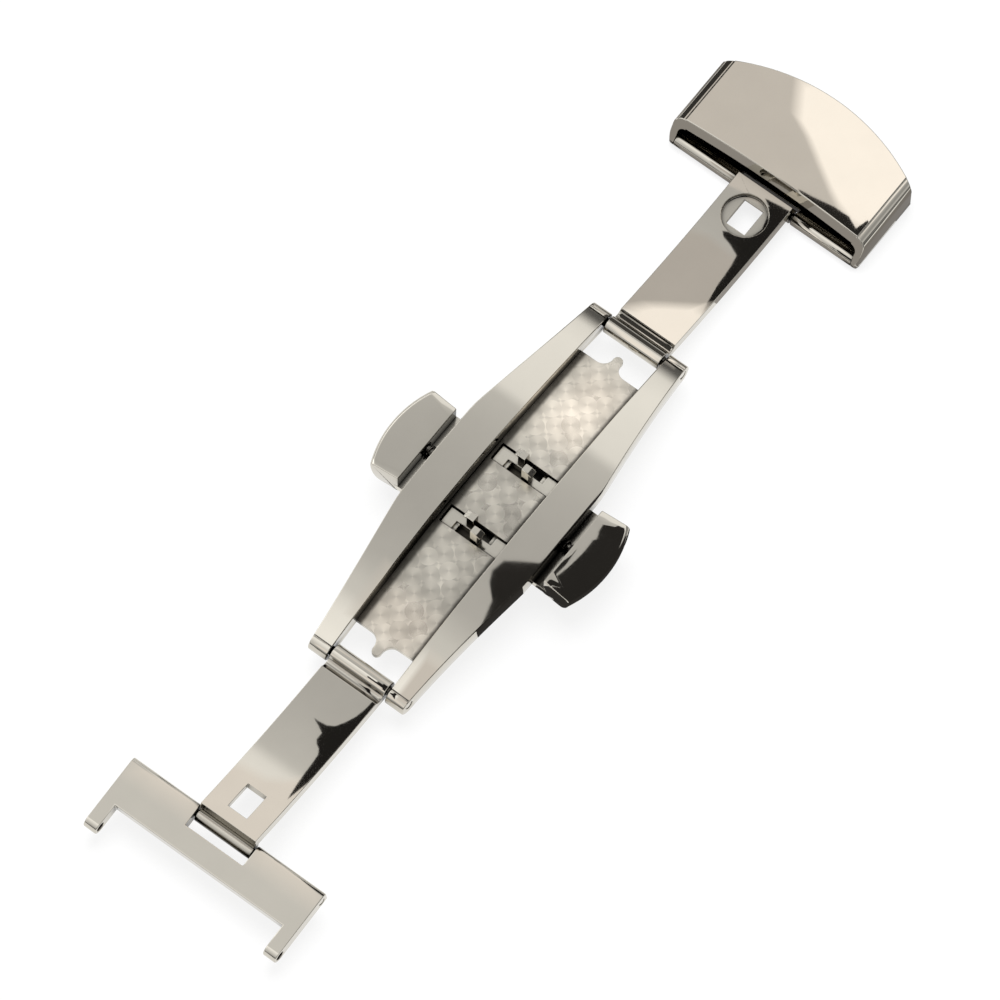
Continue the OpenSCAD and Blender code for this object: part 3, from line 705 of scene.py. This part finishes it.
# %% [markdown]
# Inside the cap stands the peg that a hole of the strap goes over. It has a neck, a thicker body, a
# head with a brim that keeps the strap on, and a low crown. Its profile is drawn 2.75 mm high and
# stretched to the height that the frame gives.

# %% Strap peg
DRAWN_HEIGHT = 2.75

low, high = box_mm("strap_peg")
head_r = (high[0] - low[0]) / 2
neck = [(0, 0.42), (0.04, 0.45), (0.88, 0.45), (0.9, 0.5), (0.9, 0.72), (0.93, 0.75),
    (2.2, 0.75), (2.28, 0.78)]
brim = [(2.3, head_r - 0.08), (2.34, head_r), (2.5, head_r), (2.56, head_r - 0.05)]
crown = [(2.62, head_r - 0.2), (2.7, 0.6), (2.74, 0.35), (DRAWN_HEIGHT, 0.1)]
peg = [(z * (high[2] - low[2]) / DRAWN_HEIGHT, r) for z, r in neck + brim + crown]
finish_piece(lathe("domed_strap_peg", (peg, ((low[0] + high[0]) / 2, 0, low[2]), "z")), "strap_peg")
print("peg's head:", round(float(2 * head_r), 2), "mm across")

# %% [markdown]
# ## The button springs
#
# A compression spring sits on each guide pin between the rail and the button. It is drawn wire,
# wound at an even pitch with its last turn at each end laid flat. A Screw modifier could wind it,
# but only at one pitch from end to end. Here the wire is a circle carried along a helix whose
# advance slows down over the last turn.

# %% Springs
WIRE_RADIUS = 0.08
SPRING_TURNS = 5
CLOSED_TURN = 0.9  # the part of a turn over which the pitch falls off
CLOSED_PITCH = 0.35  # share of the pitch that is left at the end


def spring(name, node, per_turn=30, sides=12):
    """Centre(t) = radius * (cos 2 pi n t, advance(t), sin 2 pi n t); a circle follows it."""
    low, high = box_mm(node)
    centre = (low + high) / 2
    radius = (high[2] - low[2]) / 2 - WIRE_RADIUS
    t = np.linspace(0, 1, SPRING_TURNS * per_turn + 1)
    pitch = np.clip(np.minimum(t, 1 - t) * SPRING_TURNS / CLOSED_TURN, CLOSED_PITCH, 1)
    advance = np.concatenate([[0], np.cumsum((pitch[1:] + pitch[:-1]) / 2)])
    travel = (high[1] - low[1]) - 2 * WIRE_RADIUS
    y = low[1] + WIRE_RADIUS + travel * advance / advance[-1]
    turn = math.tau * SPRING_TURNS * t
    out = np.stack([np.cos(turn), np.zeros_like(t), np.sin(turn)], 1)
    middle = np.stack([centre[0] + radius * np.cos(turn), y, centre[2] + radius * np.sin(turn)], 1)
    around = np.linspace(0, math.tau, sides, endpoint=False)
    along = np.array([0, 1, 0])
    circle = np.cos(around)[:, None] * out[:, None] + np.sin(around)[:, None] * along
    tube = middle[:, None] + WIRE_RADIUS * circle
    ends = [np.arange(sides)[::-1], (len(t) - 1) * sides + np.arange(sides)]
    coil = closed_mesh(name, tube.reshape(-1, 3) * MM, grid_quads(len(t), sides), ends)
    return finish_piece(coil, node)


for side in ("left", "right"):
    coil = spring(side + "_button_spring", "spring_" + side)
    print(coil.name, len(coil.data.polygons), "faces")

# %% [markdown]
# ## The studio
#
# Polished steel shows the room more than itself, so the light is a room: a broad diffuser overhead
# with a brighter band, a second bright band towards the cap that ends in a narrow dark one, a
# bright wall on the side away from the camera, and dimmer walls elsewhere. A lamp could be built
# for each of these, but a painted world has no sizes and distances that would need matching. Its
# light is the product of two ramps, one against the angle along the clasp and one against the
# angle across it.

# %% The room's ramps
RAMP_TOP = 2.0  # a ramp holds values up to 1, so light is divided by this and multiplied again

world = bpy.data.worlds.new("studio")
scene.world = world
world.use_nodes = True
room = world.node_tree
room.nodes.clear()
direction = add(room, "ShaderNodeTexCoord").outputs["Generated"]
x, y, z = add(room, "ShaderNodeSeparateXYZ", {0: direction}).outputs
lean_x = add(room, "ShaderNodeMath", {0: x, 1: z}, operation="ARCTAN2").outputs[0]
lean_y = add(room, "ShaderNodeMath", {0: y, 1: z}, operation="ARCTAN2").outputs[0]

# (degrees from straight up, light)
ALONG = ((-180, 0.2), (-90, 0.3), (-62, 0.75), (-30, 1.1), (-6, 1.4), (-2.2, 1.25), (0, 0.92),
    (1, 0.92), (5, 0.7), (13, 0.63), (20, 0.66), (23.5, 0.7), (29.5, 0.8), (31, 1.18), (41, 1.28),
    (43.7, 1.15), (44.5, 0.12), (49, 0.14), (55, 0.85), (100, 0.8), (150, 0.4))
ACROSS = ((-110, 0.3), (-85, 0.5), (-30, 0.6), (-12, 0.95), (0, 1.0), (42, 1.0), (60, 1.7),
    (84, 1.9), (110, 0.4))


def room_light(lean, pairs):
    """Light against a leaning angle: straight lines between (degrees, light) pairs."""
    share = add(room, "ShaderNodeMapRange", {"Value": lean, "From Min": -math.pi,
        "From Max": math.pi}).outputs[0]
    ramp = add(room, "ShaderNodeValToRGB", {0: share})
    elements = ramp.color_ramp.elements
    while len(elements) < len(pairs):
        elements.new(0.5)
    for element, (angle, light) in zip(elements, pairs):
        grey = light / RAMP_TOP
        element.position = (angle + 180) / 360
        element.color = (grey, grey, grey, 1)
    return add(room, "ShaderNodeMath", {0: ramp.outputs[0], 1: RAMP_TOP},
        operation="MULTIPLY").outputs[0]


both = add(room, "ShaderNodeMath", {0: room_light(lean_x, ALONG), 1: room_light(lean_y, ACROSS)},
    operation="MULTIPLY").outputs[0]
print("the room's light is set at", len(ALONG) + len(ACROSS), "angles")

# %% [markdown]
# Only reflections see the room's bands. Paper, and whatever else is matte, gets one even light from
# it, and to the camera the backdrop is plain white.

# %% Who sees what
MATTE_LIGHT = 0.75  # what matte things get from the room

# the room grows dim towards the horizon
height = add(room, "ShaderNodeMapRange", {"Value": z, "From Min": 0.05, "From Max": 0.35,
    "To Min": 0.15, "To Max": 1.0}).outputs[0]
seen = add(room, "ShaderNodeMath", {0: both, 1: height}, operation="MULTIPLY").outputs[0]
rays = add(room, "ShaderNodeLightPath").outputs
steel_sees = add(room, "ShaderNodeMix", {"Factor": rays["Is Glossy Ray"], 2: MATTE_LIGHT,
    3: seen}).outputs[0]
level = add(room, "ShaderNodeMix", {"Factor": rays["Is Camera Ray"], 2: steel_sees,
    3: 1.0}).outputs[0]
backdrop = add(room, "ShaderNodeBackground", {"Color": linear("#FFFFFF"), "Strength": level})
add(room, "ShaderNodeOutputWorld", {"Surface": backdrop.outputs[0]})
scene.view_settings.view_transform = "Standard"
print("nodes in the room:", len(room.nodes))

# %% [markdown]
# ## The lamp
#
# One soft lamp hangs high over the clasp and gives the floor its faint shadow. A small lamp would
# throw a hard one, so this is a disk half a metre wide. The steel doesn't mirror it, because a
# round white spot on the cap would give it away.

# %% Lamp
LAMP_PLACE = (0.12, 0.1, 0.7)  # metres
LAMP_WIDTH = 0.5  # metres
LAMP_WATTS = 4

lamp = bpy.data.lights.new("overhead_diffuser", "AREA")
lamp.shape = "DISK"
lamp.size = LAMP_WIDTH
lamp.energy = LAMP_WATTS
overhead = bpy.data.objects.new("overhead_diffuser", lamp)
overhead.location = LAMP_PLACE
# a lamp shines along its own -z, which is tilted about x and then turned about z towards the clasp
aim = -np.array(overhead.location)
tilt, turned = math.atan2(math.hypot(aim[0], aim[1]), -aim[2]), math.atan2(-aim[0], aim[1])
overhead.rotation_euler = (tilt, 0, turned)
overhead.visible_glossy = False
scene.collection.objects.link(overhead)
print("lamp tilted by", round(math.degrees(tilt), 1), "degrees")

# %% [markdown]
# ## The floor
#
# The clasp lies on white paper. Matte paper alone would come out a little grey, and turning up the
# lamps until it is white would bleach the steel. So most of what the camera and the reflections
# see of the paper is a plain white glow, and the rest takes the shadow.

# %% Floor
PAPER_GRAIN_MM = 0.5
GLOW_SHARE = 0.8  # of what is seen of the paper
HALF_SIDE = 1.5  # metres
UNDER_CLASP_MM = 0.02

paper, tree = fresh("white_paper_floor")
place = add(tree, "ShaderNodeTexCoord").outputs["Object"]
grain = add(tree, "ShaderNodeTexNoise", {"Vector": place, "Scale": 1 / (PAPER_GRAIN_MM * MM),
    "Detail": 2.0}).outputs[0]
white = add(tree, "ShaderNodeMapRange", {"Value": grain, "To Min": 0.86, "To Max": 0.9}).outputs[0]
matte = add(tree, "ShaderNodeBsdfDiffuse", {"Color": white}).outputs[0]
glow = add(tree, "ShaderNodeEmission", {"Color": linear("#FFFFFF"), "Strength": 1.0}).outputs[0]
path = add(tree, "ShaderNodeLightPath").outputs
by_eye = add(tree, "ShaderNodeMath", {0: path["Is Camera Ray"], 1: path["Is Glossy Ray"]},
    operation="MAXIMUM").outputs[0]
by_any = add(tree, "ShaderNodeMath", {0: by_eye, 1: path["Is Transmission Ray"]},
    operation="MAXIMUM").outputs[0]
share = add(tree, "ShaderNodeMath", {0: by_any, 1: GLOW_SHARE}, operation="MULTIPLY").outputs[0]
mixed = add(tree, "ShaderNodeMixShader", {"Fac": share, 1: matte, 2: glow}).outputs[0]
add(tree, "ShaderNodeOutputMaterial", {"Surface": mixed})

under = cad_low[2] - UNDER_CLASP_MM * MM
corners = [(-HALF_SIDE, -HALF_SIDE), (HALF_SIDE, -HALF_SIDE), (HALF_SIDE, HALF_SIDE),
    (-HALF_SIDE, HALF_SIDE)]
floor_mesh = bpy.data.meshes.new("paper_floor")
floor_mesh.from_pydata([(*corner, under) for corner in corners], [], [(0, 1, 2, 3)])
floor_mesh.materials.append(paper)
floor = bpy.data.objects.new("paper_floor", floor_mesh)
scene.collection.objects.link(floor)
floor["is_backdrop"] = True
print("floor at", round(under / MM, 2), "mm")

# %% [markdown]
# ## Flags and bounce cards
#
# A photographer shapes the reflections with cards held just out of the picture. Black flags draw
# the dark wedges that make steel look like steel. Cream cards light one side of the bowed cap, a
# hinge, the floor plate and the end plate, and grey ones set the tones between. A card of frayed
# cloth ends softly. Painting the tones on the steel would be easier, but they would stay put when
# the clasp folds. Most cards lie level close over the part that they are meant for, because a
# card close by is mirrored in that part alone. Four lie beside the clasp just above the floor,
# and two stand upright. Only the steel sees them.

# %% Flags over the arms, a rail and a push piece
JUST_OVER_FLOOR = -2.4


def level_card(height_mm, outline):
    """Corners of a card that lies flat, height_mm over the clasp."""
    return [(x, y, height_mm) for x, y in outline]


# name: (light, share of the card that is frayed, corners in mm)
CARDS = {
    "flag_over_cap_arm": (0.02, 0, level_card(9, [
        (40.7, 1.8), (41.1, -1.2), (40.1, -1.6), (34.5, -0.9), (30.6, -0.5), (32.0, -0.1),
        (33.4, 0.2), (34.5, 0.3), (35.3, 0.4), (36.1, 0.6), (36.5, 1.7), (36.7, 2.6),
        (37.0, 3.0), (37.4, 2.1), (37.8, 0.9), (39.0, 0.5), (40.2, 0.9)])),
    "flag_over_plate_arm": (0.02, 0, level_card(9, [
        (-22.2, 2.5), (-22.2, 2.0), (-22.1, 1.2), (-21.8, 0.6), (-21.1, 0.1), (-20.3, -0.3),
        (-19.5, -0.5), (-18.5, -0.6), (-17.5, -0.7), (-17.5, -1.6), (-22.4, -1.2),
        (-25.2, -1.0), (-27.0, -0.8), (-28.6, -0.5), (-27.2, -0.25), (-26.2, -0.1),
        (-25.0, 0.0), (-24.3, 0.1), (-23.9, 0.4), (-23.7, 0.8), (-23.4, 1.1), (-22.8, 1.1),
        (-22.5, 1.7)])),
    "flag_over_rail": (0.03, 0, level_card(25, [
        (-3.3, 0.9), (-1.8, 1.4), (0.2, 1.1), (1.4, -0.1), (2.7, -1.5), (4.7, -1.8),
        (7.6, -1.9), (7.7, -3.3), (2.4, -3.9), (-3.0, -2.8), (-8.9, -2.0), (-12.6, -0.8),
        (-9.2, -1.0), (-7.2, -0.7), (-5.1, -0.3)])),
    "flag_over_push_piece": (0.03, 0, level_card(25, [
        (-1.0, -3.4), (2.4, -3.8), (4.5, -4.1), (8.0, -4.4), (11.7, -4.5), (13.5, -4.7),
        (16.0, -5.0), (16.0, -30.0), (-28.0, -30.0), (-28.0, -3.2)])),
    "flag_beside_push_piece": (0.03, 0, [
        (-12, -24, -2), (16, -24, -2), (16, -24, 26), (-12, -24, 26)]),
    "flag_under_push_piece": (0.04, 0, level_card(JUST_OVER_FLOOR, [
        (-10, -40), (14, -40), (14, -9), (5.5, -9), (5.0, -11), (-4.0, -11), (-4.4, -6.2),
        (-10, -6.2)])),
}
print("flags:", len(CARDS))

# %% Cards at the cap's end of the clasp
CARDS |= {
    "flag_over_cap_groove": (0.08, 0, level_card(2.3, [
        (19.9, -2.8), (22.2, -2.8), (22.2, 3.6), (19.9, 3.6)])),
    "cream_card_over_cap": (1.62, 0.24, level_card(14, [
        (54.1, 9.1), (50.4, 6.3), (49.2, 3.4), (47.7, 0.6), (45.8, -3.1), (44.9, -5.2),
        (44.1, -8.2), (44.4, -11.6), (52.8, -13.6), (55.7, -7.3), (56.1, 1.7), (55.3, 7.7)])),
    "grey_card_over_cap": (0.87, 0, level_card(14.4, [
        (53.5, 18.4), (54.6, 7.2), (52.4, 4.6), (51.3, 2.3), (50.0, -0.3), (48.3, -3.4),
        (47.5, -5.0), (46.8, -7.4), (45.2, -10.5), (43.6, -10.5), (40.9, 16.1), (44.9, 19.7)])),
    "flag_over_cap_corner": (0.03, 0, level_card(13.7, [
        (44.5, -0.1), (44.7, -2.0), (45.1, -4.4), (45.2, -6.4), (44.7, -7.8), (46.0, -8.2),
        (45.8, -9.0), (44.7, -9.6), (43.9, -8.8), (43.7, -5.7), (43.6, -3.0)])),
    "flag_beside_cap": (0.05, 0, [(34, 30, 0), (80, 30, 0), (80, 30, 31), (34, 30, 31)]),
    "grey_card_over_cap_arm": (0.7, 0.12, level_card(9.4, [
        (27.2, 7.6), (27.6, 6.0), (28.1, 4.6), (28.7, 3.2), (29.5, 1.8), (30.3, 0.6),
        (31.4, -0.8), (34.5, -1.8), (36.4, 0.5), (36.6, 4.0), (35.5, 8.4), (30.0, 8.8)])),
    "grey_card_before_cap": (0.4, 0, level_card(JUST_OVER_FLOOR, [
        (28, -10.4), (44, -10.4), (44, 20), (28, 20)])),
    "grey_card_at_cap_end": (0.28, 0, level_card(JUST_OVER_FLOOR, [
        (34, -24), (80, -24), (80, -10.5), (34, -10.5)])),
    "grey_card_behind_cap": (0.25, 0, level_card(JUST_OVER_FLOOR, [
        (44, -10.5), (80, -10.5), (80, 30), (44, 30)])),
}
print("with those at the cap's end:", len(CARDS))

# %% Cards over the hinges and the two plates
CARDS |= {
    "cream_card_at_cap_hinge": (1.5, 0.5, level_card(5, [
        (22.6, 4.1), (24.7, 4.6), (26.2, 3.4), (27.4, 1.8), (28.4, 0.3), (29.2, -0.9),
        (30.0, -1.6), (29.3, -3.1), (25.6, -3.4), (22.4, -3.4), (22.2, 2.3)])),
    "cream_card_over_floor": (1.35, 0.5, level_card(6, [
        (8, -2.2), (20, -2.2), (20, 3.8), (8, 3.8)])),
    "grey_card_at_rail_end": (0.93, 0.4, level_card(5, [
        (-23, -5.6), (-14.5, -5.6), (-14.5, -3.2), (-23, -2.8)])),
    "grey_card_at_plate_hinge": (0.95, 0.5, level_card(7, [
        (-17, -2.5), (-10, -2.5), (-10, 5.5), (-17, 5.5)])),
    "cream_card_at_end_plate": (1.12, 0.25, level_card(10, [
        (-28.4, 8.0), (-27.4, 5.0), (-27.2, 2.6), (-26.4, 1.0), (-25.6, 0.2), (-25.2, -0.4),
        (-28.0, -3.6), (-34.0, -9.5), (-40.0, -9.5), (-40.0, 13.0), (-34.0, 13.0)])),
}
print("cards in all:", len(CARDS))

# %% [markdown]
# A card is a flat face that glows and lets everything but reflections pass. A frayed one has a
# smaller copy of its outline inside, and its cloth is closed there and open at the outline.

# %% Hanging the cards
def card_cloth(name, light):
    """Studio cloth that gives back an even light where it is closed."""
    material, tree = fresh(name)
    shine = add(tree, "ShaderNodeEmission", {"Color": linear("#FFFAF7"), "Strength": light})
    clear = add(tree, "ShaderNodeBsdfTransparent")
    woven = add(tree, "ShaderNodeAttribute", attribute_name="cloth").outputs["Fac"]
    mixed = add(tree, "ShaderNodeMixShader", {"Fac": woven, 1: clear.outputs[0],
        2: shine.outputs[0]})
    add(tree, "ShaderNodeOutputMaterial", {"Surface": mixed.outputs[0]})
    return material


def card(name, light, soft, corners):
    """A card that shows in reflections alone, with cloth that frays over the share soft.

    The cloth is 0 on the outline and 1 on the inner one: centre + (1 - soft) * (corner - centre).
    """
    corners = np.array(corners, float)
    count = len(corners)
    inner = corners.mean(0) + (1 - soft) * (corners - corners.mean(0))
    i = np.arange(count)
    ring = np.stack([i, (i + 1) % count, count + (i + 1) % count, count + i], 1)
    mesh = bpy.data.meshes.new(name)
    if soft:
        both = np.concatenate([corners, inner])
        mesh.from_pydata((both * MM).tolist(), [], [*ring.tolist(), (count + i).tolist()])
    else:
        mesh.from_pydata((corners * MM).tolist(), [], [i.tolist()])
    cloth = mesh.attributes.new("cloth", "FLOAT", "POINT")
    cloth.data.foreach_set("value", np.repeat([0.0, 1.0], count) if soft else np.ones(count))
    mesh.materials.append(card_cloth(name, light))
    made = bpy.data.objects.new(name, mesh)
    scene.collection.objects.link(made)
    for ray in ("camera", "diffuse", "shadow", "transmission", "volume_scatter"):
        setattr(made, "visible_" + ray, False)
    made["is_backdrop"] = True


for name, (light, soft, corners) in CARDS.items():
    card(name, light, soft, corners)
print("frayed cards:", sum(soft > 0 for light, soft, corners in CARDS.values()))

# %% [markdown]
# ## Sizes, and done
#
# The finished pieces are measured, and the clasp's size is printed. Rolled edges and domed pins
# never change the clasp's size.

# %% Finish
low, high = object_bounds()
print("clasp measures", [round((b - a) / MM, 2) for a, b in zip(low, high)], "mm")
